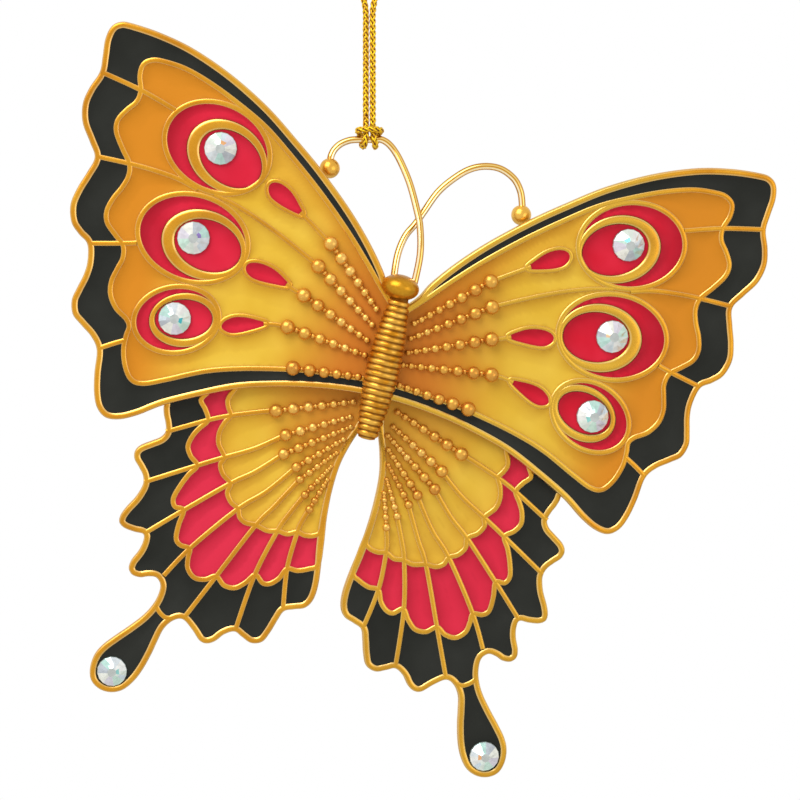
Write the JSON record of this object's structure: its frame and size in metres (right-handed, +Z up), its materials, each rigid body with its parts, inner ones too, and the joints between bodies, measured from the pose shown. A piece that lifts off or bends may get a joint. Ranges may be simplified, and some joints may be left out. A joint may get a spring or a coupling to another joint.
{
  "type": "butterfly ornament",
  "caption": "Hanging butterfly ornament: four enamelled gold-tone wings with crystals, a ribbed body and looped antennae, hitched by one antenna to a metallic cord loop.",
  "frame": {"origin": "the point where the hanging loop bears on its hook, with the butterfly hanging still below it", "axes": "+Z up; the butterfly's face looks towards -Y; +X to the viewer's right; the body is tilted 13.35 degrees clockwise as the viewer sees it"},
  "size_m": [0.1012, 0.0146, 0.1176],
  "materials": {
    "wing_gold": "satin",
    "bead_gold": "satin",
    "body_gold": "satin",
    "polished_wire": "polished",
    "gold_ball": "satin",
    "black_enamel": "gloss",
    "amber_enamel": "gloss",
    "red_enamel": "gloss",
    "crystal": "polished",
    "metallic_cord": "satin"
  },
  "bodies": {
    "cord": {"hanging_cord": "metallic_cord", "cord_hitch": "metallic_cord"},
    "butterfly": {"antenna_wire_left": "polished_wire", "antenna_wire_right": "polished_wire", "antenna_ball_left": "gold_ball", "antenna_ball_right": "gold_ball", "head": "body_gold", "ribbed_body": "body_gold", "forewing_frame_left": "wing_gold", "forewing_frame_right": "wing_gold", "forewing_black_left": "black_enamel", "forewing_black_right": "black_enamel", "forewing_amber_left": "amber_enamel", "forewing_amber_right": "amber_enamel", "forewing_red_left": "red_enamel", "forewing_red_right": "red_enamel", "forewing_beads_left": "bead_gold", "forewing_beads_right": "bead_gold", "eye_crystals_left": "crystal", "eye_crystals_right": "crystal", "hindwing_frame_left": "wing_gold", "hindwing_frame_right": "wing_gold", "hindwing_black_left": "black_enamel", "hindwing_black_right": "black_enamel", "hindwing_amber_left": "amber_enamel", "hindwing_amber_right": "amber_enamel", "hindwing_red_left": "red_enamel", "hindwing_red_right": "red_enamel", "hindwing_beads_left": "bead_gold", "hindwing_beads_right": "bead_gold", "tail_crystal_left": "crystal", "tail_crystal_right": "crystal"}
  },
  "joints": [
    {"name": "swing_on_cord", "type": "hinge", "parent": "cord", "child": "butterfly", "pos_m": [0, 0, -0.025], "axis": [1, 0, 0], "range_deg": [-40, 40]}
  ]
}
